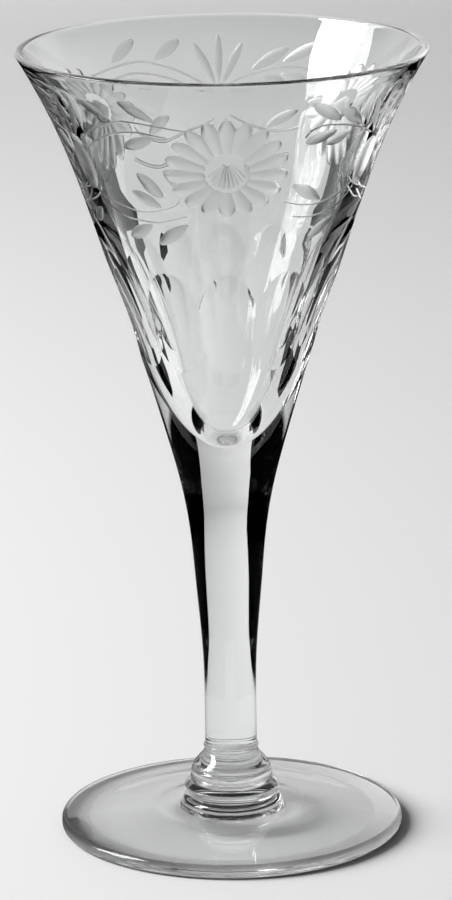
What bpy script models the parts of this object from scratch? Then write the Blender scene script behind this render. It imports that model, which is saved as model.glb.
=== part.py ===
"""A stemmed sherry glass, stacked from the pieces that a glasshouse joins.

The foot, merese, bell knop, stem and bowl are turned pieces of clear glass on one axis.
Each piece ends below in a shallow dome that seats in the dished top of the piece under it.
Metres, +Z up, origin at the centre of the face that the glass stands on.
"""

import math

import bmesh
import bpy
from mathutils import Matrix

# Joints: the dome of one piece in the dish of the next
JOINT_GAP = 0.0003
JOINT_DOME = 0.0007

# Foot: a disc with a rounded edge, a boss in the middle and a hollow underneath
FOOT_RADIUS = 0.02815
FOOT_EDGE_THICKNESS = 0.0022
FOOT_EDGE_ROUND = 0.0009
FOOT_REST_WIDTH = 0.0038
FOOT_HOLLOW = 0.0014
FOOT_CROWN = 0.00335
BOSS_HEIGHT = 0.0052
BOSS_RADIUS = 0.0086
BOSS_SHOULDER = 0.0013
BOSS_FILLET = 0.0029

# Merese: the thin collar with a narrow edge between knop and foot
MERESE_RADIUS = 0.0078
MERESE_WAIST = 0.0070
MERESE_HEIGHT = 0.0020
MERESE_EDGE_HEIGHT = 0.00115
MERESE_EDGE_ROUND = 0.0003
MERESE_EDGE_TURN = 75

# Knop: a bell with a bead round its neck
KNOP_RADIUS = 0.00678
KNOP_HEIGHT = 0.0061
KNOP_LIP = 0.0004
KNOP_WAIST_RADIUS = 0.00602
KNOP_WAIST_HEIGHT = 0.0029
KNOP_NECK_STEP = 0.00012
KNOP_NECK_HEIGHT = 0.0052
KNOP_NECK_SLOPE = -0.2
BEAD_ROUND = 0.0003
BEAD_UNDERCUT = -60

# Stem: straight above the knop, then swelling up to the bowl
STEM_RADIUS = 0.00424
STEM_LENGTH = 0.0430
STEM_STRAIGHT = 0.0080
STEM_TAPER_RADIUS = 0.00443
STEM_TAPER_HEIGHT = 0.0158
STEM_SWELL_RADIUS = 0.00566
STEM_SWELL_HEIGHT = 0.0308
SEAM_RADIUS = 0.00732
SEAM_SLOPE = 0.216

# Bowl: a trumpet with a rounded cavity in a thick base
BOWL_HEIGHT = 0.0725
BOWL_BASE_RADIUS = 0.01015
BOWL_BASE_HEIGHT = 0.0105
BOWL_LOWER_RADIUS = 0.01313
BOWL_LOWER_HEIGHT = 0.0205
BOWL_FLUTED_RADIUS = 0.0166
BOWL_FLUTED_HEIGHT = 0.0310
BOWL_FLUTED_SLOPE = 0.325
BOWL_MIDDLE_RADIUS = 0.02164
BOWL_MIDDLE_HEIGHT = 0.0465
BOWL_UPPER_RADIUS = 0.02693
BOWL_UPPER_HEIGHT = 0.0605
RIM_RADIUS = 0.0330
RIM_SLOPE = 0.60
RIM_WALL = 0.0014
UPPER_WALL = 0.0026
MIDDLE_WALL = 0.0030
BASE_THICKNESS = 0.0085
CAVITY_TIP_ROUND = 0.0028
CAVITY_ROUND_HEIGHT = 0.0130

# Flutes: flat ovals ground into the lower wall by the rim of a broad wheel
FLUTES = 12
FLUTE_DEPTH = 0.00085
FLUTE_TURN = math.radians(1.2)
WHEEL_RADIUS = 0.0510
WHEEL_WIDTH = 0.0130
WHEEL_FACETS = 200

# Facets round the axis, and steps along each curved stretch of an outline
WIDE_FACETS = 72
SLIM_FACETS = 36
CURVE_STEPS = 4
ARC_STEPS = 4
RIM_STEPS = 6
DOME_STEPS = 2
MERGE_DISTANCE = 0.00001

# Glass colour and finish
GLASS_COLOUR = (0.93, 0.94, 0.94, 1.0)
GLASS_ROUGHNESS = 0.02
GLASS_IOR = 1.52


def clear_scene():
    """Empty the file, so that only the glass is left in it."""
    for thing in list(bpy.data.objects):
        bpy.data.objects.remove(thing, do_unlink=True)


def glass_material(name):
    """Clear colourless glass with a fire-polished surface."""
    material = bpy.data.materials.new(name + "_glass")
    material.use_nodes = True
    shader = material.node_tree.nodes["Principled BSDF"]
    shader.inputs["Base Color"].default_value = GLASS_COLOUR
    shader.inputs["Roughness"].default_value = GLASS_ROUGHNESS
    shader.inputs["Metallic"].default_value = 0.0
    shader.inputs["Transmission Weight"].default_value = 1.0
    shader.inputs["IOR"].default_value = GLASS_IOR
    return material


def arc(centre, across, up, start, end, steps=ARC_STEPS):
    """(radius, height) points on an ellipse, from one angle to another in degrees."""
    points = []
    for step in range(steps + 1):
        angle = math.radians(start + (end - start) * step / steps)
        points.append((centre[0] + across * math.cos(angle), centre[1] + up * math.sin(angle)))
    return points


def seat(radius, edge_height):
    """A joint face: a shallow cap below its edge, as points from the edge in to the axis."""
    points = []
    for step in range(DOME_STEPS + 1):
        share = 1 - step / DOME_STEPS
        points.append((radius * share, edge_height - JOINT_DOME * (1 - share * share)))
    return points


def wall_slopes(stations, first, last):
    """A slope for each (radius, height) station: the given ends, weighted means between."""
    found = [first]
    for below, here, above in zip(stations, stations[1:], stations[2:]):
        run_below, run_above = here[1] - below[1], above[1] - here[1]
        rise_below = (here[0] - below[0]) / run_below
        rise_above = (above[0] - here[0]) / run_above
        mean = (rise_below * run_above + rise_above * run_below) / (run_below + run_above)
        found.append(mean)
    return found + [last]


def smooth_wall(stations, first, last):
    """(radius, height) points on a smooth curve up through the (radius, height) stations."""
    points = [stations[0]]
    tangents = wall_slopes(stations, first, last)
    for index, (low, high) in enumerate(zip(stations, stations[1:])):
        run = high[1] - low[1]
        for step in range(1, CURVE_STEPS + 1):
            t = step / CURVE_STEPS
            radius = low[0] * (2 * t**3 - 3 * t**2 + 1) + high[0] * (3 * t**2 - 2 * t**3)
            radius += run * tangents[index] * (t**3 - 2 * t**2 + t)
            radius += run * tangents[index + 1] * (t**3 - t**2)
            points.append((radius, low[1] + run * t))
    return points


def downward(points):
    """The same points in the other order."""
    return list(reversed(points))


def turned(name, outline, facets, height, parent, collection):
    """One turned piece: a half outline from axis to axis, spun and set at its height."""
    mesh = bpy.data.meshes.new(name)
    points = [(radius, 0.0, z) for radius, z in outline]
    mesh.from_pydata(points, [(i, i + 1) for i in range(len(points) - 1)], [])
    mesh.materials.append(glass_material(name))
    piece = bpy.data.objects.new(name, mesh)
    collection.objects.link(piece)
    piece.parent = parent
    piece.location = (0.0, 0.0, height)
    spin = piece.modifiers.new("turned", "SCREW")
    spin.axis = "Z"
    spin.angle = 2 * math.pi
    spin.steps = facets
    spin.render_steps = facets
    spin.use_merge_vertices = True
    spin.merge_threshold = MERGE_DISTANCE
    spin.use_smooth_shade = True
    return piece


def foot_outline():
    """The boss, its fillet, the crowned disc, the round edge, the resting ring, the hollow."""
    edge_centre = FOOT_RADIUS - FOOT_EDGE_ROUND
    shoulder_base = BOSS_HEIGHT - BOSS_SHOULDER
    shoulder = arc((MERESE_WAIST, shoulder_base), BOSS_RADIUS - MERESE_WAIST, BOSS_SHOULDER, 90, 0)
    fillet_centre = (BOSS_RADIUS + BOSS_FILLET, shoulder_base)
    fillet = arc(fillet_centre, BOSS_FILLET, shoulder_base - FOOT_CROWN, 180, 270)
    top_edge = (edge_centre, FOOT_EDGE_THICKNESS - FOOT_EDGE_ROUND)
    edge = arc(top_edge, FOOT_EDGE_ROUND, FOOT_EDGE_ROUND, 90, 0)
    heel = arc((edge_centre, FOOT_EDGE_ROUND), FOOT_EDGE_ROUND, FOOT_EDGE_ROUND, 0, -90)
    hollow_radius = edge_centre - FOOT_REST_WIDTH
    hollow = []
    for step in range(CURVE_STEPS + 1):
        share = 1 - step / CURVE_STEPS
        hollow.append((hollow_radius * share, FOOT_HOLLOW * (1 - share * share)))
    dish = downward(seat(MERESE_WAIST, BOSS_HEIGHT))
    return dish + shoulder[1:] + fillet[1:] + edge + heel + hollow


def merese_outline():
    """A dished top as wide as the bell, a narrow round edge, and a dome for the foot's boss."""
    edge_centre = (MERESE_RADIUS - MERESE_EDGE_ROUND, MERESE_EDGE_HEIGHT)
    turn = MERESE_EDGE_TURN
    edge = arc(edge_centre, MERESE_EDGE_ROUND, MERESE_EDGE_ROUND, turn, -turn)
    dish = downward(seat(KNOP_RADIUS - KNOP_LIP, MERESE_HEIGHT))
    return dish + edge + seat(MERESE_WAIST, 0.0)


def knop_outline():
    """A dished top for the stem, the bead, the bell's flare, its rounded lip and the dome."""
    bead_centre = (STEM_RADIUS, KNOP_HEIGHT - BEAD_ROUND)
    bead = arc(bead_centre, BEAD_ROUND, BEAD_ROUND, 90, BEAD_UNDERCUT)
    neck = (STEM_RADIUS + KNOP_NECK_STEP, KNOP_NECK_HEIGHT)
    waist = (KNOP_WAIST_RADIUS, KNOP_WAIST_HEIGHT)
    bell = smooth_wall([(KNOP_RADIUS, KNOP_LIP), waist, neck], 0.0, KNOP_NECK_SLOPE)
    lip = arc((KNOP_RADIUS - KNOP_LIP, KNOP_LIP), KNOP_LIP, KNOP_LIP, 0, -90)
    dish = downward(seat(STEM_RADIUS, KNOP_HEIGHT))
    return dish + bead[1:] + downward(bell) + lip[1:] + seat(KNOP_RADIUS - KNOP_LIP, 0.0)[1:]


def stem_outline():
    """A dished head for the bowl, the swell, the straight lower length and the dome."""
    taper = (STEM_TAPER_RADIUS, STEM_TAPER_HEIGHT)
    swell = (STEM_SWELL_RADIUS, STEM_SWELL_HEIGHT)
    head = (SEAM_RADIUS, STEM_LENGTH)
    side = smooth_wall([(STEM_RADIUS, STEM_STRAIGHT), taper, swell, head], 0.0, SEAM_SLOPE)
    dish = downward(seat(SEAM_RADIUS, STEM_LENGTH))
    return dish + downward(side)[1:] + seat(STEM_RADIUS, 0.0)


def bowl_outline():
    """The cavity from its tip up, over the round rim, and down the trumpet to the dome."""
    half_wall = RIM_WALL / 2
    tilt = math.degrees(math.atan(RIM_SLOPE))
    rim_centre = (RIM_RADIUS - half_wall, BOWL_HEIGHT - half_wall)
    rim = arc(rim_centre, half_wall, half_wall, 180 - tilt, -tilt, RIM_STEPS)
    tip = []
    round_radius = math.sqrt(2 * CAVITY_TIP_ROUND * CAVITY_ROUND_HEIGHT)
    for step in range(CURVE_STEPS + 1):
        radius = round_radius * step / CURVE_STEPS
        tip.append((radius, BASE_THICKNESS + radius**2 / (2 * CAVITY_TIP_ROUND)))
    inner_stations = [
        tip[-1],
        (BOWL_MIDDLE_RADIUS - MIDDLE_WALL, BOWL_MIDDLE_HEIGHT),
        (BOWL_UPPER_RADIUS - UPPER_WALL, BOWL_UPPER_HEIGHT),
        rim[0],
    ]
    inner = smooth_wall(inner_stations, CAVITY_TIP_ROUND / round_radius, RIM_SLOPE)
    outer_stations = [
        (SEAM_RADIUS, 0.0),
        (BOWL_BASE_RADIUS, BOWL_BASE_HEIGHT),
        (BOWL_LOWER_RADIUS, BOWL_LOWER_HEIGHT),
        (BOWL_FLUTED_RADIUS, BOWL_FLUTED_HEIGHT),
        (BOWL_MIDDLE_RADIUS, BOWL_MIDDLE_HEIGHT),
        (BOWL_UPPER_RADIUS, BOWL_UPPER_HEIGHT),
        rim[-1],
    ]
    outer = smooth_wall(outer_stations, SEAM_SLOPE, RIM_SLOPE)
    return tip + inner[1:] + rim[1:] + downward(outer)[1:] + seat(SEAM_RADIUS, 0.0)[1:]


def flute_wheel(number, wheels):
    """One grinding wheel, held with its rim in the bowl's wall and its axle level."""
    wheel_mesh = bmesh.new()
    bmesh.ops.create_cone(
        wheel_mesh,
        cap_ends=True,
        segments=WHEEL_FACETS,
        radius1=WHEEL_RADIUS,
        radius2=WHEEL_RADIUS,
        depth=WHEEL_WIDTH,
    )
    name = f"flute_wheel_{number + 1}"
    mesh = bpy.data.meshes.new(name)
    wheel_mesh.to_mesh(mesh)
    wheel_mesh.free()
    wheel = bpy.data.objects.new(name, mesh)
    wheels.objects.link(wheel)
    steepness = math.hypot(1.0, BOWL_FLUTED_SLOPE)
    reach = WHEEL_RADIUS - FLUTE_DEPTH
    across = BOWL_FLUTED_RADIUS + reach / steepness
    height = BOWL_FLUTED_HEIGHT - reach * BOWL_FLUTED_SLOPE / steepness
    turn = FLUTE_TURN + 2 * math.pi * number / FLUTES
    level_axle = Matrix.Rotation(math.radians(90), 4, "Y")
    wheel.matrix_world = Matrix.Rotation(turn, 4, "Z") @ Matrix.Translation((0.0, -across, height)) @ level_axle
    wheel.hide_render = True
    wheel.display_type = "WIRE"


def grind_flutes(bowl):
    """Grind the ring of flutes into the bowl's lower wall."""
    wheels = bpy.data.collections.new("flute_wheels")
    bpy.context.scene.collection.children.link(wheels)
    for number in range(FLUTES):
        flute_wheel(number, wheels)
    for wheel in wheels.objects:
        wheel.matrix_world = Matrix.Translation(bowl.location) @ wheel.matrix_world
    grind = bowl.modifiers.new("flutes", "BOOLEAN")
    grind.operation = "DIFFERENCE"
    grind.solver = "EXACT"
    grind.operand_type = "COLLECTION"
    grind.collection = wheels


def build_glass():
    """Set the five pieces on one another, from the table up."""
    clear_scene()
    collection = bpy.data.collections.new("sherry_glass")
    bpy.context.scene.collection.children.link(collection)
    stand = bpy.data.objects.new("sherry_glass_axis", None)
    collection.objects.link(stand)
    merese_height = BOSS_HEIGHT + JOINT_GAP
    knop_height = merese_height + MERESE_HEIGHT + JOINT_GAP
    stem_height = knop_height + KNOP_HEIGHT + JOINT_GAP
    bowl_height = stem_height + STEM_LENGTH + JOINT_GAP
    turned("foot", foot_outline(), WIDE_FACETS, 0.0, stand, collection)
    turned("merese", merese_outline(), SLIM_FACETS, merese_height, stand, collection)
    turned("knop", knop_outline(), SLIM_FACETS, knop_height, stand, collection)
    turned("stem", stem_outline(), SLIM_FACETS, stem_height, stand, collection)
    bowl = turned("bowl", bowl_outline(), WIDE_FACETS, bowl_height, stand, collection)
    grind_flutes(bowl)


build_glass()
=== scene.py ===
import math

import bmesh
import bpy
import numpy as np
from mathutils import Matrix, Vector


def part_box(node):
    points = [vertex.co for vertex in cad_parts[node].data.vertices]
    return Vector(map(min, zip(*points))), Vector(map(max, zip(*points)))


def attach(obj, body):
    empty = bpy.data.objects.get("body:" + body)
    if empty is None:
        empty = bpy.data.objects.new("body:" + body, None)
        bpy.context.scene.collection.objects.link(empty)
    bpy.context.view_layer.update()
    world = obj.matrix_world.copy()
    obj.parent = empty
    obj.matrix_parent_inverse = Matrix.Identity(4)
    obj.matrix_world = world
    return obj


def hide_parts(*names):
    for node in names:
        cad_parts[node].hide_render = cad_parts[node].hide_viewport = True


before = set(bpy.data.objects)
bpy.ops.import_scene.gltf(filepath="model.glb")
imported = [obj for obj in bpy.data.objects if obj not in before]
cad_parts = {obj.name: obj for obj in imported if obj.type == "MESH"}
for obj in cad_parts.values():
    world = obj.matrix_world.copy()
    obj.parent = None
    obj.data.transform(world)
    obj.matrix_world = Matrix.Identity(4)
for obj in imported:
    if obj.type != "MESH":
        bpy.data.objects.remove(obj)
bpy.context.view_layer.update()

# The camera stands before the glass and a little above it, with a long lens.
# It leans by under a degree, so that the glass leans as it does in the picture.
CAMERA_PLACE = Vector((-0.00018, -0.7357, 0.2588))
CAMERA_PITCH = math.radians(-14.85)
CAMERA_LEAN = math.radians(-0.78)
CAMERA_LENS_MM, CAMERA_SENSOR_MM = 187.4, 36.0
CAMERA_NEAREST = 0.05
camera_data = bpy.data.cameras.new("camera")
camera_data.lens = CAMERA_LENS_MM
camera_data.sensor_width = CAMERA_SENSOR_MM
camera_data.clip_start = CAMERA_NEAREST
camera = bpy.data.objects.new("camera", camera_data)
bpy.context.scene.collection.objects.link(camera)
aim = Matrix.Rotation(math.radians(90) + CAMERA_PITCH, 4, "X") @ Matrix.Rotation(CAMERA_LEAN, 4, "Z")
camera.matrix_world = Matrix.Translation(CAMERA_PLACE) @ aim
bpy.context.scene.camera = camera
bpy.context.scene.view_settings.view_transform = "Standard"

# Light may turn ten times in the glass, which is enough for both walls of the bowl.
# What is still trapped after that is lost, and darkens the outlines.
LIGHT_TURNS, CLEAR_PASSES = 10, 24
bpy.context.scene.cycles.max_bounces = LIGHT_TURNS
bpy.context.scene.cycles.transmission_bounces = LIGHT_TURNS
bpy.context.scene.cycles.glossy_bounces = LIGHT_TURNS
bpy.context.scene.cycles.transparent_max_bounces = CLEAR_PASSES


# The table is a wide sheet of plain white paper. It lies flat under the glass and curves up
# to a low wall far behind it.
TABLE_HALF, TABLE_DROP = 1.0, -0.0001
BEND_START, BEND_ROUND, BEND_STEPS = 0.78, 0.20, 24
WALL_TOP = 0.36
PAPER_WHITE, PAPER_ROUGHNESS, PAPER_SHEEN = 0.82, 0.9, 0.2


def stage_sheet(name, points, faces, material):
    """A sheet that belongs to the stage, with the given points and faces."""
    mesh = bpy.data.meshes.new(name)
    mesh.from_pydata(points, [], faces)
    mesh.materials.append(material)
    sheet = bpy.data.objects.new(name, mesh)
    bpy.context.scene.collection.objects.link(sheet)
    return sheet


def strip_faces(count):
    """The faces of a strip that joins so many pairs of points."""
    return [(2 * i, 2 * i + 1, 2 * i + 3, 2 * i + 2) for i in range(count - 1)]


paper = bpy.data.materials.new("white_paper")
paper.use_nodes = True
paper_shader = paper.node_tree.nodes["Principled BSDF"]
paper_shader.inputs["Base Color"].default_value = (PAPER_WHITE, PAPER_WHITE, PAPER_WHITE, 1.0)
paper_shader.inputs["Roughness"].default_value = PAPER_ROUGHNESS
paper_shader.inputs["Specular IOR Level"].default_value = PAPER_SHEEN
paper_line = [(-TABLE_HALF, TABLE_DROP)]
for step in range(BEND_STEPS + 1):
    turn = math.radians(-90 + 90 * step / BEND_STEPS)
    rise = BEND_ROUND * (1 + math.sin(turn))
    paper_line.append((BEND_START + BEND_ROUND * math.cos(turn), TABLE_DROP + rise))
paper_line.append((BEND_START + BEND_ROUND, WALL_TOP))
table_points = [(x, y, z) for y, z in paper_line for x in (-TABLE_HALF, TABLE_HALF)]
table = stage_sheet("table", table_points, strip_faces(len(paper_line)), paper)
table.data.shade_smooth()


# Black cards stand and lie beside the glass, out of the picture, and draw its dark edges.
# Each serves light that has turned so many times in the glass, and lets the rest by.
# They are painted dark reflections and refractions in the glass: the camera doesn't see them, and they
# cast no shade.
MILLIMETRE = 0.001
LONGEST_PATH = 30
CARD_HEIGHT, UPPER_CARD_HEIGHT, DARK_REFLECTION_HEIGHT = 0.0004, 0.0008, -0.00005
DARK_REFLECTION_HALF = 0.7
WING_STEP, RING_STEPS = 0.5, 12

# Wings are curved upright cards. Their edges are (degrees from straight behind, millimetres up).
FAR_REACH, BACK_REACH, ROOM_REACH = 0.110, 0.5, 0.95
LEFT_WING = [(16.6, 72), (17.7, 46), (22.7, 27), (26, 22), (31.4, 12), (41, 0), (84, 0)]
RIGHT_WING = [(20.1, 73), (23, 48), (26, 40), (29.5, 28), (34.2, 12), (37.6, 6.8), (45, 0), (84, 0)]
OUTER_TOP = [(36, 112), (36.5, 52), (56, 52), (56.5, 75), (72, 75), (72.5, 110), (84, 110)]
LEFT_TOP = [(16, 92), (19.5, 92), (20, 112)] + OUTER_TOP
RIGHT_TOP = [(16, 92), (22.8, 92), (23.3, 112)] + OUTER_TOP
BACK_WING, BACK_TOP = [(0, 30), (60, 30)], [(0, 240), (60, 240)]
SIDE_WING, SIDE_TOP = [(86, 0), (112, 0)], [(86, 900), (112, 900)]
ROOM_WING, ROOM_TOP = [(112, 0), (180, 0)], [(112, 900), (180, 900)]

# Louvres are rows of upright slats, edge on to the stem, from a near reach out to the wings.
SLAT_REACH, SLAT_STEP = 0.050, 1.5
LEFT_SLATS = [(14.9, 62), (15.9, 53), (17.9, 42), (24.4, 32), (29.4, 22.5)]
LEFT_SLATS += [(40, 14.5), (47, 10), (59, 6), (69, 5)]
RIGHT_SLATS = [(18.9, 60), (20.9, 51.5), (28.9, 35.5), (32.9, 23.5), (36, 19)]
RIGHT_SLATS += [(44, 14.5), (49, 9), (58, 6), (70, 5)]
LEFT_SLATS_END, RIGHT_SLATS_END = 84, 96
SLAT_NEAR_TOP, SLAT_FAR_TOP = [(56, 80), (64, 92)], [(56, 75), (64, 105)]

# Flat cards lie on the table, with (x, y) corners.
# The crescents are painted shadow: the glass's shadow on the table round the foot, as the glass shows it.
CRESCENT_TURNS, CRESCENT_REACHES = (20, 90), (0.0285, 0.062)
LEFT_TURN_CARD = [(-0.08, 0.105), (-0.3, 0.085), (-0.47, 0.6), (-0.13, 0.6), (-0.075, 0.36), (-0.06, 0.13)]
RIGHT_TURN_CARD = [(0.084, 0.083), (0.06, 0.12), (0.075, 0.36), (0.13, 0.6), (0.47, 0.6), (0.3, 0.083)]
LEFT_NEAR_CARD = [(-0.05, -0.12), (-0.05, 0.015), (-0.20, 0.015), (-0.20, -0.12)]
FRONT_CARD = [(0.008, -0.06), (0.10, -0.95), (0.30, -0.95), (0.036, -0.06)]
LEFT_CARD = [(-0.085, 0.17), (-0.15, 0.20), (-0.47, 0.60), (-0.13, 0.60)]
LEFT_CARD += [(-0.085, 0.37), (-0.063, 0.345), (-0.062, 0.28), (-0.085, 0.22)]
LEFT_SIDE_CARD = [(-0.09, 0.02), (-0.09, 0.055), (-0.40, 0.25), (-0.40, 0.02)]
RIGHT_CARD = [(0.095, 0.02), (0.095, 0.16), (0.085, 0.22), (0.064, 0.28), (0.066, 0.33)]
RIGHT_CARD += [(0.078, 0.35), (0.13, 0.60), (0.47, 0.60), (0.47, 0.02)]
# The widest card lies just above the paper and paints every reflection of the table in the glass black,
# for 0.7 m round.
DARK_REFLECTION_CARD = [(-DARK_REFLECTION_HALF, -DARK_REFLECTION_HALF), (DARK_REFLECTION_HALF, -DARK_REFLECTION_HALF)]
DARK_REFLECTION_CARD += [(DARK_REFLECTION_HALF, DARK_REFLECTION_HALF), (-DARK_REFLECTION_HALF, DARK_REFLECTION_HALF)]


def black_card(name, fewest, most, glow=0.0):
    """A card that is black, or dim, to rays with so many turns behind them and open to all others: painted
    shade in what the glass shows.
    """
    material = bpy.data.materials.new(name)
    material.use_nodes = True
    nodes, links = material.node_tree.nodes, material.node_tree.links
    nodes.remove(nodes["Principled BSDF"])
    ray = nodes.new("ShaderNodeLightPath")
    above = nodes.new("ShaderNodeMath")
    above.operation = "GREATER_THAN"
    above.inputs[1].default_value = fewest - 0.5
    below = nodes.new("ShaderNodeMath")
    below.operation = "LESS_THAN"
    below.inputs[1].default_value = most + 0.5
    share = nodes.new("ShaderNodeMath")
    share.operation = "MULTIPLY"
    links.new(ray.outputs["Ray Depth"], above.inputs[0])
    links.new(ray.outputs["Ray Depth"], below.inputs[0])
    links.new(above.outputs[0], share.inputs[0])
    links.new(below.outputs[0], share.inputs[1])
    clear = nodes.new("ShaderNodeBsdfTransparent")
    dim = nodes.new("ShaderNodeEmission")
    dim.inputs["Strength"].default_value = glow
    mix = nodes.new("ShaderNodeMixShader")
    links.new(share.outputs[0], mix.inputs["Fac"])
    links.new(clear.outputs["BSDF"], mix.inputs[1])
    links.new(dim.outputs["Emission"], mix.inputs[2])
    links.new(mix.outputs["Shader"], nodes["Material Output"].inputs["Surface"])
    material.cycles.emission_sampling = "NONE"
    return material


def beside(side, reach, degrees):
    """The (x, y) place at a reach from the stem, turned to one side from straight behind it."""
    turn = math.radians(degrees)
    return side * reach * math.sin(turn), reach * math.cos(turn)


def height_at(degrees, edge):
    """The height of an edge of (degrees, millimetres) points."""
    return np.interp(degrees, [p[0] for p in edge], [p[1] for p in edge]) * MILLIMETRE


def wing(name, side, reach, low_edge, top_edge, material):
    """A curved upright card round the stem, between two edges."""
    points = []
    turns = np.arange(low_edge[0][0], low_edge[-1][0] + WING_STEP / 2, WING_STEP)
    for degrees in turns:
        x, y = beside(side, reach, degrees)
        points += [(x, y, height_at(degrees, low_edge)), (x, y, height_at(degrees, top_edge))]
    return stage_sheet(name, points, strip_faces(len(turns)), material)


def louvre(name, side, end, near_edge, far_edge, material):
    """Upright slats that point at the stem, with lower edges that run from one edge to the other."""
    points = []
    for degrees in np.arange(near_edge[0][0], end, SLAT_STEP):
        near_x, near_y = beside(side, SLAT_REACH, degrees)
        far_x, far_y = beside(side, FAR_REACH, degrees)
        far_top = height_at(degrees, SLAT_FAR_TOP)
        points.append((near_x, near_y, height_at(degrees, near_edge)))
        points.append((far_x, far_y, min(height_at(degrees, far_edge), far_top)))
        points.append((far_x, far_y, far_top))
        points.append((near_x, near_y, height_at(degrees, SLAT_NEAR_TOP)))
    return stage_sheet(name, points, [range(i, i + 4) for i in range(0, len(points), 4)], material)


def flat_card(name, corners, height, material):
    """A flat card with the given (x, y) corners, lying at one height."""
    return stage_sheet(name, [(x, y, height) for x, y in corners], [range(len(corners))], material)


def ring_sector(side, turns, reaches):
    """The (x, y) corners of a part of a ring round the glass."""
    steps = np.linspace(*turns, RING_STEPS + 1)
    outer = [beside(side, reaches[1], degrees) for degrees in steps]
    inner = [beside(side, reaches[0], degrees) for degrees in steps[::-1]]
    return outer + inner


mirror_black = black_card("mirror_black", 1, 1)
slat_black = black_card("slat_black", 2, 2)
turn_black = black_card("turn_black", 3, 3)
room_black = black_card("room_black", 3, 4)
card_black = black_card("card_black", 4, LONGEST_PATH)
cards = [
    wing("left_wing", -1, FAR_REACH, LEFT_WING, LEFT_TOP, mirror_black),
    wing("right_wing", 1, FAR_REACH, RIGHT_WING, RIGHT_TOP, mirror_black),
    louvre("left_louvre", -1, LEFT_SLATS_END, LEFT_SLATS, LEFT_WING, slat_black),
    louvre("right_louvre", 1, RIGHT_SLATS_END, RIGHT_SLATS, RIGHT_WING, slat_black),
    flat_card("left_turn_card", LEFT_TURN_CARD, CARD_HEIGHT, turn_black),
    flat_card("right_turn_card", RIGHT_TURN_CARD, CARD_HEIGHT, turn_black),
    flat_card("left_near_card", LEFT_NEAR_CARD, CARD_HEIGHT, turn_black),
    flat_card("left_card", LEFT_CARD, UPPER_CARD_HEIGHT, card_black),
    flat_card("left_side_card", LEFT_SIDE_CARD, UPPER_CARD_HEIGHT, card_black),
    flat_card("right_card", RIGHT_CARD, UPPER_CARD_HEIGHT, card_black),
    flat_card("dark_reflection_card", DARK_REFLECTION_CARD, DARK_REFLECTION_HEIGHT, mirror_black),
]
for hand, side in (("left", -1), ("right", 1)):
    crescent = ring_sector(side, CRESCENT_TURNS, CRESCENT_REACHES)
    front = [(side * x, y) for x, y in FRONT_CARD]
    cards += [
        flat_card(f"{hand}_crescent", crescent, CARD_HEIGHT, turn_black),
        flat_card(f"{hand}_front_card", front, CARD_HEIGHT, turn_black),
        wing(f"{hand}_back_wing", side, BACK_REACH, BACK_WING, BACK_TOP, turn_black),
        wing(f"{hand}_side_wing", side, ROOM_REACH, SIDE_WING, SIDE_TOP, turn_black),
        wing(f"{hand}_room_wing", side, ROOM_REACH, ROOM_WING, ROOM_TOP, room_black),
    ]
for card in cards:
    card.visible_camera = False
    card.visible_diffuse = False
    card.visible_shadow = False


# The light falls from one tall window at the left, with corners at (bearing, rise) in degrees.
# The pale room fills in the rest, and is dark overhead.
WINDOW_DISTANCE, WINDOW_LEVEL = 1.15, 0.1
WINDOW_CORNERS = [(77, 52), (77, 8), (79.5, 8), (80.5, 15), (87, 12.5), (98, 9.5)]
WINDOW_CORNERS += [(108, 8), (110, 8), (110, 52)]
WINDOW_LIGHT = 15.3
# The screens lie just before the window and are seen only in the glass. To light that has turned four
# times the through screen glows dimly, and to light that has turned eight times or more the long path
# screen is black: painted shade on the window's image.
WINDOW_SCREENS = [("through_screen", 0.99, 4, 4, 0.5), ("long_path_screen", 0.98, 8, LONGEST_PATH, 0.0)]
ROOM_SEEN, ROOM_FILL, ROOM_DARK = 0.70, 0.13, 0.02
ROOM_PALE_RISE, ROOM_DARK_RISE = 20.0, 26.0


def window_sheet(name, distance, material):
    """A sheet with the window's outline, at a distance from the glass."""
    corners = []
    for bearing, rise in WINDOW_CORNERS:
        level = distance * math.cos(math.radians(rise))
        turn = math.radians(bearing)
        height = WINDOW_LEVEL + distance * math.sin(math.radians(rise))
        corners.append((-level * math.sin(turn), -level * math.cos(turn), height))
    sheet = stage_sheet(name, corners, [range(len(corners))], material)
    sheet.visible_camera = False
    return sheet


window_glow = bpy.data.materials.new("window_glow")
window_glow.use_nodes = True
window_nodes = window_glow.node_tree.nodes
daylight = window_nodes.new("ShaderNodeEmission")
daylight.inputs["Strength"].default_value = WINDOW_LIGHT
window_surface = window_nodes["Material Output"].inputs["Surface"]
window_glow.node_tree.links.new(daylight.outputs["Emission"], window_surface)
window = window_sheet("window", WINDOW_DISTANCE, window_glow)
for name, share, fewest, most, glow in WINDOW_SCREENS:
    screen = window_sheet(name, share * WINDOW_DISTANCE, black_card(name, fewest, most, glow))
    screen.visible_diffuse = False
    screen.visible_shadow = False
room = bpy.data.worlds.new("room")
room.use_nodes = True
room_nodes, room_links = room.node_tree.nodes, room.node_tree.links
way = room_nodes.new("ShaderNodeTexCoord")
way_parts = room_nodes.new("ShaderNodeSeparateXYZ")
dusk = room_nodes.new("ShaderNodeMapRange")
dusk.inputs["From Min"].default_value = math.sin(math.radians(ROOM_PALE_RISE))
dusk.inputs["From Max"].default_value = math.sin(math.radians(ROOM_DARK_RISE))
dusk.inputs["To Min"].default_value = ROOM_SEEN
dusk.inputs["To Max"].default_value = ROOM_DARK
room_links.new(way.outputs["Generated"], way_parts.inputs[0])
room_links.new(way_parts.outputs["Z"], dusk.inputs["Value"])
room_ray = room_nodes.new("ShaderNodeLightPath")
seen = room_nodes.new("ShaderNodeMath")
seen.operation = "MAXIMUM"
seen_too = room_nodes.new("ShaderNodeMath")
seen_too.operation = "MAXIMUM"
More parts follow.
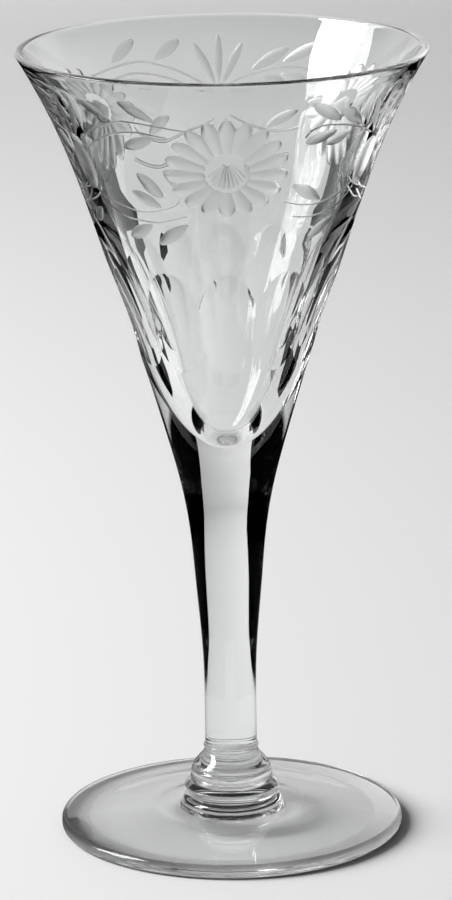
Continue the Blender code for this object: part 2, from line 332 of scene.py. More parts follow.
room_level = room_nodes.new("ShaderNodeMapRange")
room_level.inputs["To Min"].default_value = ROOM_FILL
room_links.new(dusk.outputs["Result"], room_level.inputs["To Max"])
room_links.new(room_ray.outputs["Is Camera Ray"], seen.inputs[0])
room_links.new(room_ray.outputs["Is Glossy Ray"], seen.inputs[1])
room_links.new(seen.outputs[0], seen_too.inputs[0])
room_links.new(room_ray.outputs["Is Transmission Ray"], seen_too.inputs[1])
room_links.new(seen_too.outputs[0], room_level.inputs["Value"])
room_links.new(room_level.outputs["Result"], room_nodes["Background"].inputs["Strength"])
room_nodes["Background"].inputs["Color"].default_value = (1.0, 1.0, 1.0, 1.0)
bpy.context.scene.world = room


# The foot is a pressed disc of clear glass with a rounded edge and a hollow underneath.
# A boss in its middle carries the collar, to which it was joined hot.
GLASS_TINT = (0.93, 0.94, 0.94)
GLASS_IOR = 1.52
PASSING_LIGHT = 0.96
FOOT_PASSING_LIGHT, EDGE_PASSING_LIGHT, BOSS_PASSING_LIGHT = 0.93, 0.0, 0.45
JOINT_DOME = 0.7 * MILLIMETRE
FOOT_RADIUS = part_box("foot")[1].x
FOOT_EDGE_THICKNESS = 2.2 * MILLIMETRE
FOOT_EDGE_ROUND = 0.9 * MILLIMETRE
FOOT_REST_WIDTH = 3.8 * MILLIMETRE
FOOT_HOLLOW = 1.4 * MILLIMETRE
FOOT_CROWN = 3.35 * MILLIMETRE
BOSS_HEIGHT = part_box("foot")[1].z
BOSS_RADIUS = 8.25 * MILLIMETRE
BOSS_SHOULDER = 1.3 * MILLIMETRE
BOSS_FILLET = 4.4 * MILLIMETRE
BOSS_SEAT = 7.0 * MILLIMETRE
REST_WEAR = 0.3
DISC_STEPS, HOLLOW_STEPS = 12, 16
WIDE_FACETS = 256
ON_AXIS = 1e-7
POLISHED, FUSED, EDGE_FINISH, BOSS_FINISH, WORN_FINISH = range(5)


def clear_glass(name, roughness=0.0, passing=PASSING_LIGHT, tint=GLASS_TINT):
    """Glass with a faint tint of its own, or a grey one of painted shade for the matt cuts. A share of the
    light for the table passes it unbent.
    """
    material = bpy.data.materials.new(name)
    material.use_nodes = True
    nodes, links = material.node_tree.nodes, material.node_tree.links
    shader = nodes["Principled BSDF"]
    shader.inputs["Base Color"].default_value = (*tint, 1.0)
    shader.inputs["Roughness"].default_value = roughness
    shader.inputs["IOR"].default_value = GLASS_IOR
    shader.inputs["Transmission Weight"].default_value = 1.0
    ray = nodes.new("ShaderNodeLightPath")
    either = nodes.new("ShaderNodeMath")
    either.operation = "MAXIMUM"
    by = nodes.new("ShaderNodeBsdfTransparent")
    by.inputs["Color"].default_value = (passing, passing, passing, 1.0)
    mix = nodes.new("ShaderNodeMixShader")
    links.new(ray.outputs["Is Shadow Ray"], either.inputs[0])
    links.new(ray.outputs["Is Diffuse Ray"], either.inputs[1])
    links.new(either.outputs[0], mix.inputs["Fac"])
    links.new(shader.outputs["BSDF"], mix.inputs[1])
    links.new(by.outputs["BSDF"], mix.inputs[2])
    links.new(mix.outputs["Shader"], nodes["Material Output"].inputs["Surface"])
    return material


def fused_joint(name):
    """Where two pieces were melted together nothing is left to see."""
    material = bpy.data.materials.new(name)
    material.use_nodes = True
    nodes, links = material.node_tree.nodes, material.node_tree.links
    nodes.remove(nodes["Principled BSDF"])
    through = nodes.new("ShaderNodeBsdfTransparent")
    links.new(through.outputs["BSDF"], nodes["Material Output"].inputs["Surface"])
    return material


def arc(centre, across, up, start, end, steps=16):
    """(radius, height) points on an ellipse, from one angle to another in degrees."""
    turns = [math.radians(start + (end - start) * i / steps) for i in range(steps + 1)]
    return [(centre[0] + across * math.cos(t), centre[1] + up * math.sin(t)) for t in turns]


def seat(radius, height, steps=6):
    """A joint face, from its edge in to the axis."""
    shares = [1 - i / steps for i in range(steps + 1)]
    return [(radius * s, height - JOINT_DOME * (1 - s * s)) for s in shares]


def straight(start, end, steps):
    """Evenly spaced (radius, height) points on a straight line."""
    shares = [i / steps for i in range(steps + 1)]
    return [(start[0] + (end[0] - start[0]) * s, start[1] + (end[1] - start[1]) * s) for s in shares]


def turned(name, stretches, facets, materials):
    """A turned piece from (material index, points) stretches that run from axis to axis."""
    rings, finishes = [], []
    for finish, points in stretches:
        for point in points[1 if rings else 0:]:
            if rings:
                finishes.append(finish)
            rings.append(point)
    turns = [2 * math.pi * i / facets for i in range(facets)]
    piece_mesh = bmesh.new()
    loops = []
    for radius, height in rings:
        if radius < ON_AXIS:
            loops.append([piece_mesh.verts.new((0.0, 0.0, height))] * facets)
            continue
        places = [(radius * math.cos(t), radius * math.sin(t), height) for t in turns]
        loops.append([piece_mesh.verts.new(place) for place in places])
    for upper, lower, finish in zip(loops, loops[1:], finishes):
        for i in range(facets):
            k = (i + 1) % facets
            corners = list(dict.fromkeys((upper[i], lower[i], lower[k], upper[k])))
            face = piece_mesh.faces.new(corners)
            face.material_index = finish
            face.smooth = True
    for edge in piece_mesh.edges:
        edge.smooth = sum(face.material_index == FUSED for face in edge.link_faces) != 1
    mesh = bpy.data.meshes.new(name)
    piece_mesh.to_mesh(mesh)
    piece_mesh.free()
    for material in materials:
        mesh.materials.append(material)
    piece = bpy.data.objects.new(name, mesh)
    bpy.context.scene.collection.objects.link(piece)
    return piece


joint = fused_joint("fused_joint")
foot_glass = clear_glass("foot_glass", passing=FOOT_PASSING_LIGHT)
edge_glass = clear_glass("edge_glass", passing=EDGE_PASSING_LIGHT)
boss_glass = clear_glass("boss_glass", passing=BOSS_PASSING_LIGHT)
worn_glass = clear_glass("worn_glass", REST_WEAR, FOOT_PASSING_LIGHT)
shoulder_base = BOSS_HEIGHT - BOSS_SHOULDER
shoulder = arc((BOSS_SEAT, shoulder_base), BOSS_RADIUS - BOSS_SEAT, BOSS_SHOULDER, 90, 0)
fillet_centre = (BOSS_RADIUS + BOSS_FILLET, shoulder_base)
fillet = arc(fillet_centre, BOSS_FILLET, shoulder_base - FOOT_CROWN, 180, 270)
edge_centre = FOOT_RADIUS - FOOT_EDGE_ROUND
disc = straight(fillet[-1], (edge_centre, FOOT_EDGE_THICKNESS), DISC_STEPS)
edge_top_centre = (edge_centre, FOOT_EDGE_THICKNESS - FOOT_EDGE_ROUND)
edge_top = arc(edge_top_centre, FOOT_EDGE_ROUND, FOOT_EDGE_ROUND, 90, 0)
heel = arc((edge_centre, FOOT_EDGE_ROUND), FOOT_EDGE_ROUND, FOOT_EDGE_ROUND, 0, -90)
hollow_radius = edge_centre - FOOT_REST_WIDTH
hollow_shares = [1 - i / HOLLOW_STEPS for i in range(HOLLOW_STEPS + 1)]
hollow = [(hollow_radius * s, FOOT_HOLLOW * (1 - s**2)) for s in hollow_shares]
foot = turned(
    "glass_foot",
    [
        (FUSED, seat(BOSS_SEAT, BOSS_HEIGHT)[::-1]),
        (BOSS_FINISH, shoulder + fillet[1:]),
        (POLISHED, disc),
        (EDGE_FINISH, edge_top + heel),
        (WORN_FINISH, [heel[-1], hollow[0]]),
        (POLISHED, hollow),
    ],
    WIDE_FACETS,
    [foot_glass, joint, edge_glass, boss_glass, worn_glass],
)
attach(foot, "root")
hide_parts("foot")


# The merese is a thin collar of glass with a narrow round edge, dropped on hot between
# the foot's boss and the knop.
MERESE_RADIUS = 7.8 * MILLIMETRE
MERESE_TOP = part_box("merese")[1].z
MERESE_TOP_SEAT = 6.38 * MILLIMETRE
MERESE_EDGE_HEIGHT = BOSS_HEIGHT + 1.45 * MILLIMETRE
MERESE_EDGE_ROUND, MERESE_EDGE_TURN = 0.3 * MILLIMETRE, 75
THICK_PASSING_LIGHT = 0.92
SLIM_FACETS = 192
thick_glass = clear_glass("thick_glass", passing=THICK_PASSING_LIGHT)
edge_middle = (MERESE_RADIUS - MERESE_EDGE_ROUND, MERESE_EDGE_HEIGHT)
merese_edge = arc(edge_middle, MERESE_EDGE_ROUND, MERESE_EDGE_ROUND, MERESE_EDGE_TURN, -MERESE_EDGE_TURN)
merese_side = [(MERESE_TOP_SEAT, MERESE_TOP)] + merese_edge + [(BOSS_SEAT, BOSS_HEIGHT)]
merese = turned(
    "glass_merese",
    [
        (FUSED, seat(MERESE_TOP_SEAT, MERESE_TOP)[::-1]),
        (POLISHED, merese_side),
        (FUSED, seat(BOSS_SEAT, BOSS_HEIGHT)),
    ],
    SLIM_FACETS,
    [thick_glass, joint],
)
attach(merese, "root")
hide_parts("merese")


# The knop is a bell of clear glass with a fine bead round its neck, tooled while hot
# and joined to the collar below and the stem above.
KNOP_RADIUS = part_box("knop")[1].x
KNOP_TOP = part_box("knop")[1].z
KNOP_LIP = 0.4 * MILLIMETRE
KNOP_WAIST_RADIUS = 6.02 * MILLIMETRE
KNOP_WAIST_HEIGHT = MERESE_TOP + 3.2 * MILLIMETRE
KNOP_NECK_STEP, KNOP_NECK_SLOPE = 0.12 * MILLIMETRE, -0.2
BELL_STEPS = 40
BEAD_ROUND, BEAD_UNDERCUT = 0.3 * MILLIMETRE, -60
RING_HEIGHTS = [MERESE_TOP + 2.5 * MILLIMETRE, MERESE_TOP + 1.15 * MILLIMETRE]
RING_HALF, RING_DEPTH = 0.32 * MILLIMETRE, 0.17 * MILLIMETRE
STEM_RADIUS = 4.24 * MILLIMETRE


def wall_slopes(stations, first, last):
    """A slope for each (radius, height) station, so that the curve through them bends evenly."""
    count = len(stations)
    runs = [above[1] - below[1] for below, above in zip(stations, stations[1:])]
    rises = [above[0] - below[0] for below, above in zip(stations, stations[1:])]
    weights, sums = np.eye(count), np.zeros(count)
    sums[0], sums[-1] = first, last
    for i in range(1, count - 1):
        weights[i, i - 1 : i + 2] = 1 / runs[i - 1], 2 / runs[i - 1] + 2 / runs[i], 1 / runs[i]
        sums[i] = 3 * (rises[i - 1] / runs[i - 1] ** 2 + rises[i] / runs[i] ** 2)
    return np.linalg.solve(weights, sums)


def smooth_wall(stations, first, last, steps=24):
    """(radius, height) points on a smooth curve up through the (radius, height) stations."""
    points = [stations[0]]
    tangents = wall_slopes(stations, first, last)
    for index, (low, high) in enumerate(zip(stations, stations[1:])):
        run = high[1] - low[1]
        for step in range(1, steps + 1):
            t = step / steps
            radius = low[0] * (2 * t**3 - 3 * t**2 + 1) + high[0] * (3 * t**2 - 2 * t**3)
            radius += run * tangents[index] * (t**3 - 2 * t**2 + t)
            radius += run * tangents[index + 1] * (t**3 - t**2)
            points.append((radius, low[1] + run * t))
    return points


def ringed(points):
    """The bell's outline with the fine rings that the tool left round its foot."""
    outline = []
    for radius, height in points:
        nearest = min(abs(height - ring) for ring in RING_HEIGHTS)
        outline.append((radius - RING_DEPTH * max(1 - (nearest / RING_HALF) ** 2, 0.0), height))
    return outline


bead = arc((STEM_RADIUS, KNOP_TOP - BEAD_ROUND), BEAD_ROUND, BEAD_ROUND, 90, BEAD_UNDERCUT)
bell_foot = (KNOP_RADIUS, MERESE_TOP + KNOP_LIP)
waist = (KNOP_WAIST_RADIUS, KNOP_WAIST_HEIGHT)
neck = (STEM_RADIUS + KNOP_NECK_STEP, KNOP_TOP - 3 * BEAD_ROUND)
bell = ringed(smooth_wall([bell_foot, waist, neck], 0.0, KNOP_NECK_SLOPE, BELL_STEPS))
lip = arc((KNOP_RADIUS - KNOP_LIP, MERESE_TOP + KNOP_LIP), KNOP_LIP, KNOP_LIP, 0, -90)
knop = turned(
    "glass_knop",
    [
        (FUSED, seat(STEM_RADIUS, KNOP_TOP)[::-1]),
        (POLISHED, bead + bell[::-1] + lip[1:]),
        (FUSED, seat(MERESE_TOP_SEAT, MERESE_TOP)),
    ],
    SLIM_FACETS,
    [thick_glass, joint],
)
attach(knop, "root")
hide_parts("knop")


# The stem is a drawn rod of solid glass, straight above the knop and swelling up to the bowl.
# Its outline runs on into the bowl's as one curve, through (radius, height) stations in millimetres.
STEM_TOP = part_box("stem")[1].z
STEM_STRAIGHT = KNOP_TOP + 8.3 * MILLIMETRE
SEAM_RADIUS = 7.32 * MILLIMETRE
RIM_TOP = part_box("bowl")[1].z
RIM_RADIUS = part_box("bowl")[1].x
RIM_SLOPE = 0.60
RIM_WALL = 1.4 * MILLIMETRE
RIM_ROUND, RIM_STEPS = 0.35 * MILLIMETRE, 20
STEM_STATIONS = [(4.43, 30.0), (5.42, 42.0), (5.93, 48.0)]
BOWL_STATIONS = [(10.15, 68.0), (13.13, 78.0), (16.60, 88.5), (21.64, 104.0), (26.93, 118.0)]
TRUMPET_STEPS, ROD_STEPS = 20, 8
half_wall = RIM_WALL / 2
rim_tilt = math.degrees(math.atan(RIM_SLOPE * RIM_ROUND / half_wall))
rim_centre = (RIM_RADIUS - half_wall, RIM_TOP - RIM_ROUND)
rim = arc(rim_centre, half_wall, RIM_ROUND, 180 - rim_tilt, -rim_tilt, RIM_STEPS)
stations = [(STEM_RADIUS, STEM_STRAIGHT)]
stations += [(r * MILLIMETRE, h * MILLIMETRE) for r, h in STEM_STATIONS]
stations += [(SEAM_RADIUS, STEM_TOP)]
stations += [(r * MILLIMETRE, h * MILLIMETRE) for r, h in BOWL_STATIONS]
trumpet = smooth_wall(stations + [rim[-1]], 0.0, RIM_SLOPE, TRUMPET_STEPS)
seam = TRUMPET_STEPS * (len(STEM_STATIONS) + 1)
stem_swell, outside = trumpet[: seam + 1], trumpet[seam:]
rod = straight((STEM_RADIUS, STEM_STRAIGHT), (STEM_RADIUS, KNOP_TOP), ROD_STEPS)
stem = turned(
    "glass_stem",
    [
        (FUSED, seat(SEAM_RADIUS, STEM_TOP)[::-1]),
        (POLISHED, stem_swell[::-1] + rod[1:]),
        (FUSED, seat(STEM_RADIUS, KNOP_TOP)),
    ],
    SLIM_FACETS,
    [thick_glass, joint],
)
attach(stem, "root")
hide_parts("stem")


# The bowl is a blown trumpet of clear glass with a thick base, a rounded cavity and a
# fire-polished rim, cut afterwards on the wheel.
MIDDLE_WALL = 3.0 * MILLIMETRE
UPPER_WALL = 2.6 * MILLIMETRE
CAVITY_BOTTOM = 66.0 * MILLIMETRE
CAVITY_TIP_ROUND = 2.8 * MILLIMETRE
CAVITY_ROUND_HEIGHT = 13.0 * MILLIMETRE
CAVITY_STEPS = 24
glass = clear_glass("clear_glass")
round_radius = math.sqrt(2 * CAVITY_TIP_ROUND * CAVITY_ROUND_HEIGHT)
cavity_radii = [round_radius * i / CAVITY_STEPS for i in range(CAVITY_STEPS + 1)]
cavity = [(r, CAVITY_BOTTOM + r * r / (2 * CAVITY_TIP_ROUND)) for r in cavity_radii]
middle, upper = stations[-2], stations[-1]
middle_inside = (middle[0] - MIDDLE_WALL, middle[1])
upper_inside = (upper[0] - UPPER_WALL, upper[1])
inner_stations = [cavity[-1], middle_inside, upper_inside, rim[0]]
inside = smooth_wall(inner_stations, CAVITY_TIP_ROUND / round_radius, RIM_SLOPE)
bowl_side = cavity + inside[1:] + rim[1:] + outside[::-1][1:]
bowl_stretches = [(POLISHED, bowl_side), (FUSED, seat(SEAM_RADIUS, STEM_TOP))]
bowl = turned("glass_bowl", bowl_stretches, WIDE_FACETS, [glass, joint])


# The flutes are twelve shallow ovals in the lower wall of the bowl, ground side by side
# with a broad wheel and polished clear.
FLUTES = 12
FLUTE_MIDDLE, FLUTE_HALF = 88.4 * MILLIMETRE, 8.8 * MILLIMETRE
FLUTE_HALF_WIDTH, FLUTE_DEPTH = 4.8 * MILLIMETRE, 0.6 * MILLIMETRE
FLUTE_STEPS, FLUTE_POINTS = 36, 21
ORNAMENT_TURN = 1.2
SPILL = 1.3
COVER, TIP_LIFT = 0.25 * MILLIMETRE, 0.05 * MILLIMETRE
wall_heights = [height for radius, height in outside]
wall_radii = [radius for radius, height in outside]
wall_slants = np.gradient(wall_radii, wall_heights)


def wall(height):
    """The outer wall's radius and slope at a height."""
    return np.interp(height, wall_heights, wall_radii), np.interp(height, wall_heights, wall_slants)


def on_wall(turn, height, lift):
    """A point lifted off the outer wall, at a turn in radians from the front and a height."""
    radius, slope = wall(height)
    long = math.hypot(1.0, slope)
    across = radius + lift / long
    return Vector((across * math.sin(turn), -across * math.cos(turn), height - lift * slope / long))


def groove(shapes, path, half_width, depth, points=9):
    """Add a closed cutter along (degrees, height) points. Width and depth go by the share run."""
    turns = [math.radians(p[0]) for p in path]
    heights = [p[1] for p in path]
    count = len(path)
    loops = []
    for i in range(count):
        share = i / (count - 1)
        before, after = max(i - 1, 0), min(i + 1, count - 1)
        radius, slope = wall(heights[i])
        long = math.hypot(1.0, slope)
        ahead_across = (turns[after] - turns[before]) * radius
        ahead_up = (heights[after] - heights[before]) * long
        ahead = math.hypot(ahead_across, ahead_up)
        side_across, side_up = -ahead_up / ahead, ahead_across / ahead
        wide, deep = half_width(share), depth(share)
        if i in (0, count - 1):
            loops.append([shapes.verts.new(on_wall(turns[i], heights[i], TIP_LIFT))])
            continue
        spread = [SPILL * (2 * k / (points - 1) - 1) for k in range(points)]
        lifts = [-deep * (1 - u * u) for u in spread]
        ring = list(zip(spread, lifts)) + [(u, lifts[0] + COVER) for u in spread[::-1]]
        loop = []
        for u, lift in ring:
            turn = turns[i] + u * wide * side_across / radius
            height = heights[i] + u * wide * side_up / long
            loop.append(shapes.verts.new(on_wall(turn, height, lift)))
        loops.append(loop)
    for first, second in zip(loops, loops[1:]):
        size = max(len(first), len(second))
        for k in range(size):
            n = (k + 1) % size
            corners = [first[k % len(first)], first[n % len(first)]]
            corners += [second[n % len(second)], second[k % len(second)]]
            shapes.faces.new(list(dict.fromkeys(corners)))


def cut(piece, shapes, material):
    """Take the cutters' shapes out of a piece, leaving their finish on the cut."""
    bmesh.ops.recalc_face_normals(shapes, faces=shapes.faces[:])
    cutter_mesh = bpy.data.meshes.new("cutter")
    shapes.to_mesh(cutter_mesh)
    shapes.free()
    cutter_mesh.materials.append(material)
    cutter = bpy.data.objects.new("cutter", cutter_mesh)
    bpy.context.scene.collection.objects.link(cutter)
    boolean = piece.modifiers.new("cut", "BOOLEAN")
    boolean.operation = "DIFFERENCE"
    boolean.solver = "MANIFOLD"
    boolean.object = cutter
    boolean.material_mode = "TRANSFER"
    bpy.context.view_layer.update()
    whole = piece.evaluated_get(bpy.context.evaluated_depsgraph_get())
    done = bpy.data.meshes.new_from_object(whole)
    piece.modifiers.clear()
    piece.data = done
    bpy.data.objects.remove(cutter)


def oval(most):
    """A half-width or depth that swells and shrinks like an ellipse."""
    return lambda share: most * math.sqrt(max(1 - (2 * share - 1) ** 2, 0.0))


def swell(most):
    """A depth that swells and shrinks like a parabola."""
    return lambda share: most * max(1 - (2 * share - 1) ** 2, 0.0)


flute_glass = clear_glass("flute_glass")
for first_flute in (0, 1):
    flutes = bmesh.new()
    for flute in range(first_flute, FLUTES, 2):
        turn = ORNAMENT_TURN + 360 / FLUTES * flute
        shares = [2 * i / FLUTE_STEPS - 1 for i in range(FLUTE_STEPS + 1)]
        path = [(turn, FLUTE_MIDDLE + FLUTE_HALF * s) for s in shares]
        groove(flutes, path, oval(FLUTE_HALF_WIDTH), swell(FLUTE_DEPTH), FLUTE_POINTS)
    cut(bowl, flutes, flute_glass)


# The garland is cut matt with small wheels: three daisies, and a bud between them on all but
# the far side, joined by pairs of fine stalks with leaves. Its places are (degrees, millimetres).
# The matt cuts are tinted grey, and the leaves and stalks a darker grey: painted shade that dims the light
# the rough cuts scatter.
MATT_ROUGHNESS = 0.30
MATT_SHADE_TINT, LEAF_SHADE_TINT = (0.80, 0.81, 0.81), (0.55, 0.56, 0.56)
REPEATS, BACK_REPEAT = 3, 1
WALL_SLANT = 1.08
DAISY_HEIGHT, DAISY_ACROSS, DAISY_UP = 115.5 * MILLIMETRE, 10.0 * MILLIMETRE, 9.1 * MILLIMETRE
DISC_HEIGHT, DISC_TOP, DISC_RADIUS = 114.6 * MILLIMETRE, 116.8 * MILLIMETRE, 3.3 * MILLIMETRE
PETALS, PETAL_STEPS = 18, 18
PETAL_HALF_WIDTH, PETAL_DEPTH = 1.42 * MILLIMETRE, 0.27 * MILLIMETRE
PETAL_ROOT_WIDTH, PETAL_ROOT_DEPTH = 0.45, 0.25
PETAL_WIDEST, PETAL_NARROWS, PETAL_RISES = 0.62, 0.5, 0.8
STAMENS, STAMEN_STEPS, STAMEN_POINTS = 9, 12, 7
STAMEN_HALF_WIDTH, STAMEN_DEPTH = 0.42 * MILLIMETRE, 0.06 * MILLIMETRE
STAMEN_FIRST, STAMEN_FAN = -160, 140
STAMEN_ACROSS, STAMEN_UP, STAMEN_START = 0.95, 0.9, 0.12
STAMEN_ROOT_WIDTH, STAMEN_CLOSES = 0.15, 0.85
LEAF_HALF_WIDTH, LEAF_DEPTH, LEAF_STEPS = 1.1 * MILLIMETRE, 0.19 * MILLIMETRE, 15
LEAF_OUTLINE, LEAF_HOLLOW = 0.85, 0.7
SLENDER = 0.65
STALK_HALF_WIDTH, STALK_DEPTH = 0.17 * MILLIMETRE, 0.10 * MILLIMETRE
STALK_STEPS, STALK_POINTS = 40, 5
BUD_HALF_WIDTH, BUD_DEPTH = 2.4 * MILLIMETRE, 0.32 * MILLIMETRE
BUD_STEPS, BUD_POINTS = 21, 11
BUD = [(60.0, 118.0), (60.0, 109.8)]
LEAVES = [
    ((-48.0, 125.8), (-38.0, 122.8)),
    ((-33.0, 126.4), (-22.0, 123.1)),
    ((-36.0, 118.3), (-23.4, 120.4)),
    ((-37.8, 110.9), (-25.5, 108.4)),
    ((-44.6, 102.7), (-31.0, 105.4)),
    ((-30.0, 102.0), (-15.2, 105.9)),
    ((25.7, 125.7), (38.6, 122.1)),
    ((36.4, 124.6), (49.1, 120.8)),
    ((26.2, 119.0), (38.5, 120.5)),
    ((34.7, 118.4), (45.2, 120.0)),
    ((24.8, 112.1), (39.5, 108.6)),
    ((36.6, 102.5), (49.6, 105.4)),
]
SLENDER_LEAVES = [
    ((60.0, 126.8), (60.0, 118.6)),
    ((52.0, 125.4), (59.0, 118.4)),
    ((68.0, 125.4), (61.0, 118.4)),
]
UPPER_LEFT_STALK = [(-56.0, 118.4), (-46.0, 121.0), (-39.2, 122.2), (-33.8, 122.9)]
UPPER_LEFT_STALK += [(-27.9, 122.8), (-22.8, 122.5), (-15.9, 122.0), (-10.0, 121.6)]
SECOND_LEFT_STALK = [(-55.0, 116.9), (-45.7, 119.3), (-39.8, 120.3), (-33.8, 121.0)]
SECOND_LEFT_STALK += [(-28.2, 121.2), (-22.9, 120.8), (-19.0, 120.5)]
THIRD_LEFT_STALK = [(-58.0, 110.2), (-53.0, 109.0), (-46.0, 108.2), (-39.2, 107.6)]
THIRD_LEFT_STALK += [(-33.1, 107.4), (-25.6, 108.0), (-20.3, 108.8), (-17.9, 109.9)]
LOWER_LEFT_STALK = [(-57.6, 109.0), (-50.6, 107.3), (-44.1, 106.2), (-36.5, 105.9)]
LOWER_LEFT_STALK += [(-29.3, 105.8), (-22.0, 106.4), (-15.5, 107.2)]
UPPER_RIGHT_STALK = [(25.8, 119.8), (28.0, 121.1), (32.3, 121.7), (39.3, 121.4)]
UPPER_RIGHT_STALK += [(45.7, 120.7), (52.2, 119.7), (57.0, 118.7)]
MIDDLE_RIGHT_STALK = [(21.8, 109.3), (29.5, 108.5), (37.2, 108.2)]
MIDDLE_RIGHT_STALK += [(44.8, 108.7), (51.2, 109.6), (55.6, 110.7)]
LOWER_RIGHT_STALK = [(26.8, 106.6), (34.1, 106.2), (41.3, 106.3)]
LOWER_RIGHT_STALK += [(48.8, 107.1), (54.5, 108.5), (57.8, 109.9)]
STALKS = [UPPER_LEFT_STALK, SECOND_LEFT_STALK, THIRD_LEFT_STALK, LOWER_LEFT_STALK]
STALKS += [UPPER_RIGHT_STALK, MIDDLE_RIGHT_STALK, LOWER_RIGHT_STALK]


def drawn(points, count):
    """An even smooth run of points through the given (degrees, millimetre) ones."""
    turns, heights = [p[0] for p in points], [p[1] for p in points]
    shares = np.linspace(0, len(points) - 1, count)
    if len(points) == 2:
        return [(np.interp(s, (0, 1), turns), np.interp(s, (0, 1), heights) * MILLIMETRE) for s in shares]
    run = []
    for s in shares:
        i = min(int(s), len(points) - 2)
        t = s - i
        four = [points[min(max(k, 0), len(points) - 1)] for k in (i - 1, i, i + 1, i + 2)]
        blend = (-t**3 + 2 * t**2 - t, 3 * t**3 - 5 * t**2 + 2, -3 * t**3 + 4 * t**2 + t, t**3 - t**2)
        run.append(tuple(sum(b * p[axis] for b, p in zip(blend, four)) / 2 for axis in (0, 1)))
    return [(turn, height * MILLIMETRE) for turn, height in run]


def turned_by(points, degrees):
    """The same (degrees, height) points further round the bowl."""
    return [(turn + degrees, height) for turn, height in points]


def leaf_width(share):
    """A leaf is pointed at both ends and widest before its middle."""
    return LEAF_HALF_WIDTH * math.sin(math.pi * share**LEAF_OUTLINE) ** LEAF_OUTLINE


def leaf_depth(share):
    """A leaf is deepest toward its free end."""
    return LEAF_DEPTH * math.sin(math.pi * share**LEAF_HOLLOW) ** LEAF_HOLLOW


def slender_width(share):
    """A slender leaf is a leaf made narrower."""
    return SLENDER * leaf_width(share)


def slender_depth(share):
    """A slender leaf is also shallower."""
    return SLENDER * leaf_depth(share)


def closing(share, start):
    """The share of its size that a cut keeps as it closes, like an ellipse, from a start to its end."""
    return math.sqrt(max(1 - (max(share - start, 0) / (1 - start)) ** 2, 0.0))


def petal_width(share):
    """A petal widens from the disc and narrows to a round end."""
    widening = math.sin(math.pi / 2 * min(share / PETAL_WIDEST, 1))
    grown = PETAL_ROOT_WIDTH + (1 - PETAL_ROOT_WIDTH) * widening
    return PETAL_HALF_WIDTH * grown * closing(share, PETAL_NARROWS)


def petal_depth(share):
    """A petal deepens outward and rises steeply at its end."""
    grown = PETAL_ROOT_DEPTH + (1 - PETAL_ROOT_DEPTH) * share
    return PETAL_DEPTH * grown * closing(share, PETAL_RISES)


def stamen_width(share):
    """A stamen's line grows along the cut and then closes."""
    grown = STAMEN_ROOT_WIDTH + (1 - STAMEN_ROOT_WIDTH) * share
    return STAMEN_HALF_WIDTH * grown * closing(share, STAMEN_CLOSES)


def constant(value):
    """The same half-width or depth all along."""
    return lambda share: value


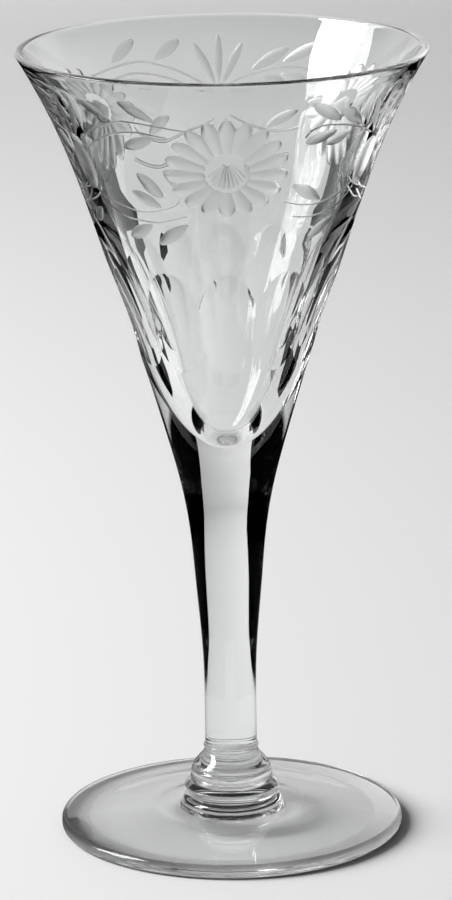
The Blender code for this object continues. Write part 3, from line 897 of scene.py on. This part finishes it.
# The leaf cut is a darker copy of the matt cut, with more painted shade.
matt_cut = clear_glass("matt_cut", MATT_ROUGHNESS, tint=MATT_SHADE_TINT)
leaf_cut = clear_glass("leaf_cut", MATT_ROUGHNESS, tint=LEAF_SHADE_TINT)
petal_shapes = [bmesh.new(), bmesh.new()]
leaf_shapes = bmesh.new()
line_shapes = [bmesh.new(), bmesh.new()]
heart_shapes = [bmesh.new(), bmesh.new()]
disc_radius, _ = wall(DISC_HEIGHT)
for repeat in range(REPEATS):
    middle = ORNAMENT_TURN + 360 / REPEATS * repeat
    for petal in range(PETALS):
        angle = 2 * math.pi * petal / PETALS + math.pi / 2
        start_height = DISC_HEIGHT + DISC_RADIUS * math.sin(angle) / WALL_SLANT
        tip_height = DAISY_HEIGHT + DAISY_UP * math.sin(angle) / WALL_SLANT
        start_turn = math.degrees(DISC_RADIUS * math.cos(angle) / wall(start_height)[0])
        tip_turn = math.degrees(DAISY_ACROSS * math.cos(angle) / wall(tip_height)[0])
        petal_turns = np.linspace(middle + start_turn, middle + tip_turn, PETAL_STEPS)
        petal_heights = np.linspace(start_height, tip_height, PETAL_STEPS)
        path = list(zip(petal_turns, petal_heights))
        groove(petal_shapes[petal % 2], path, petal_width, petal_depth)
    for leaf in LEAVES:
        path = turned_by(drawn(leaf, LEAF_STEPS), middle)
        groove(leaf_shapes, path, leaf_width, leaf_depth)
    for number, leaf in enumerate(SLENDER_LEAVES):
        path = turned_by(drawn(leaf, LEAF_STEPS), middle)
        groove(line_shapes[number % 2], path, slender_width, slender_depth)
    for number, stalk in enumerate(STALKS):
        path = turned_by(drawn(stalk, STALK_STEPS), middle)
        shapes = line_shapes[number % 2]
        groove(shapes, path, constant(STALK_HALF_WIDTH), constant(STALK_DEPTH), STALK_POINTS)
    if repeat != BACK_REPEAT:
        path = turned_by(drawn(BUD, BUD_STEPS), middle)
        groove(heart_shapes[0], path, oval(BUD_HALF_WIDTH), oval(BUD_DEPTH), BUD_POINTS)
    for stamen in range(STAMENS):
        angle = math.radians(STAMEN_FIRST + STAMEN_FAN * stamen / (STAMENS - 1))
        end_height = DISC_HEIGHT + STAMEN_UP * DISC_RADIUS * math.sin(angle)
        end_turn = math.degrees(STAMEN_ACROSS * DISC_RADIUS * math.cos(angle) / disc_radius)
        shares = np.linspace(STAMEN_START, 1, STAMEN_STEPS)
        path = [(middle + end_turn * s, DISC_TOP + (end_height - DISC_TOP) * s) for s in shares]
        groove(heart_shapes[stamen % 2], path, stamen_width, constant(STAMEN_DEPTH), STAMEN_POINTS)
for shapes in petal_shapes:
    cut(bowl, shapes, matt_cut)
for shapes in [leaf_shapes] + line_shapes:
    cut(bowl, shapes, leaf_cut)
for shapes in heart_shapes:
    cut(bowl, shapes, matt_cut)

# The wall keeps its smooth shine up to the edge of each cut, where the glass turns sharply.
CREASE = math.radians(14)
ON_WALL = 0.012 * MILLIMETRE
flute_finish = bowl.data.materials.find("flute_glass")
wall_mesh = bmesh.new()
wall_mesh.from_mesh(bowl.data)
for face in wall_mesh.faces:
    face.smooth = True
for edge in wall_mesh.edges:
    finishes = {face.material_index for face in edge.link_faces}
    soft = finishes == {flute_finish} or edge.calc_face_angle(0.0) < CREASE
    edge.smooth = len(finishes) == 1 and soft
wall_mesh.to_mesh(bowl.data)
wall_mesh.free()
shine = [corner.vector.copy() for corner in bowl.data.corner_normals]
for face in bowl.data.polygons:
    if bowl.data.materials[face.material_index] != glass:
        continue
    for corner in face.loop_indices:
        place = bowl.data.vertices[bowl.data.loops[corner].vertex_index].co
        radius, slope = wall(place.z)
        across = math.hypot(place.x, place.y)
        if place.z < wall_heights[-1] and abs(across - radius) < ON_WALL:
            shine[corner] = Vector((place.x / across, place.y / across, -slope)).normalized()
bowl.data.normals_split_custom_set(shine)
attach(bowl, "root")
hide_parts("bowl")
